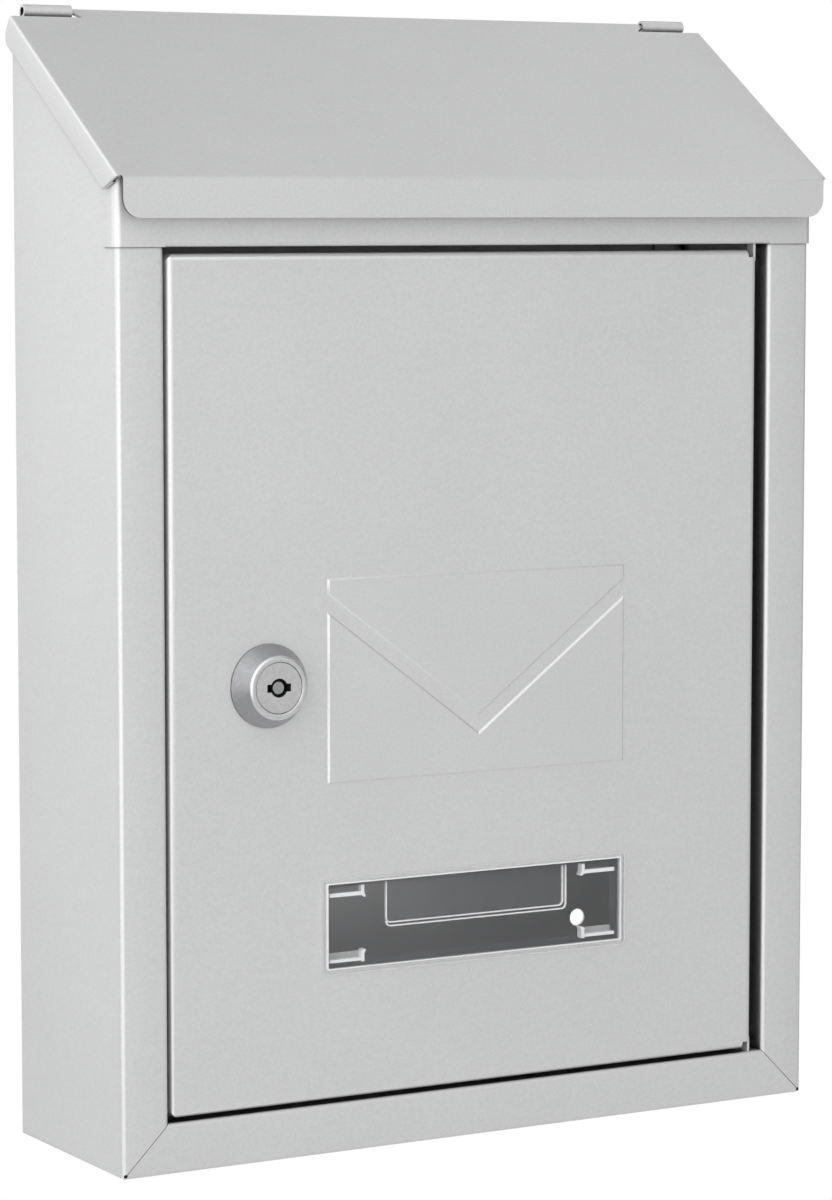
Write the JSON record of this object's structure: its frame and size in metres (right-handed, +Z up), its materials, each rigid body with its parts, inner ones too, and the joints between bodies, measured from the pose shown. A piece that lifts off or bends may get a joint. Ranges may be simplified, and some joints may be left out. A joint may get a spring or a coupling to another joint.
{
  "type": "wall mounted mailbox",
  "caption": "Wall-mounted sheet-metal mailbox with a sloping hinged lid over the mail slot, a locking front door, a cam lock and a clear name window.",
  "frame": {"origin": "middle of the four wall holes, on the rear face that lies against the wall", "axes": "+Z up, +X to the right seen from the front, +Y into the wall; the door faces -Y"},
  "size_m": [0.2198, 0.0696, 0.3056],
  "materials": {
    "body_metal": "satin silver, very finely mottled",
    "lid_metal": "satin silver, very finely mottled",
    "door_metal": "satin silver, very finely mottled",
    "clear_plastic": "clear, glossy",
    "lock_body_metal": "satin chrome",
    "lock_plug_metal": "satin",
    "zinc_steel": "zinc plated",
    "wafer_brass": "plain",
    "spring_steel": "plain"
  },
  "bodies": {
    "box": {"casing": "body_metal", "back_plate": "body_metal", "lintel": "body_metal"},
    "lid": {"lid": "lid_metal"},
    "door": {"door_panel": "door_metal", "name_window": "clear_plastic", "card_holder": "clear_plastic", "lock_housing": "lock_body_metal", "lock_washer": "zinc_steel", "lock_nut": "zinc_steel"},
    "lock_cylinder": {"lock_plug": "lock_plug_metal", "lock_post": "lock_plug_metal", "lock_wafers": "wafer_brass", "wafer_springs": "spring_steel", "stop_washer": "zinc_steel", "lock_cam": "zinc_steel", "cam_washer": "zinc_steel", "cam_nut": "zinc_steel"}
  },
  "joints": [
    {"name": "lid_hinge", "type": "hinge", "parent": "box", "child": "lid", "pos_m": [0, -0.00176, 0.15959], "axis": [-1, 0, 0], "range_deg": [0, 123]},
    {"name": "door_hinge", "type": "hinge", "parent": "box", "child": "door", "pos_m": [0.08995, -0.0611, 0], "axis": [0, 0, 1], "range_deg": [0, 110]},
    {"name": "lock_turn", "type": "hinge", "parent": "door", "child": "lock_cylinder", "pos_m": [-0.0642, -0.06, -0.01725], "axis": [0, 1, 0], "range_deg": [0, 90]}
  ]
}
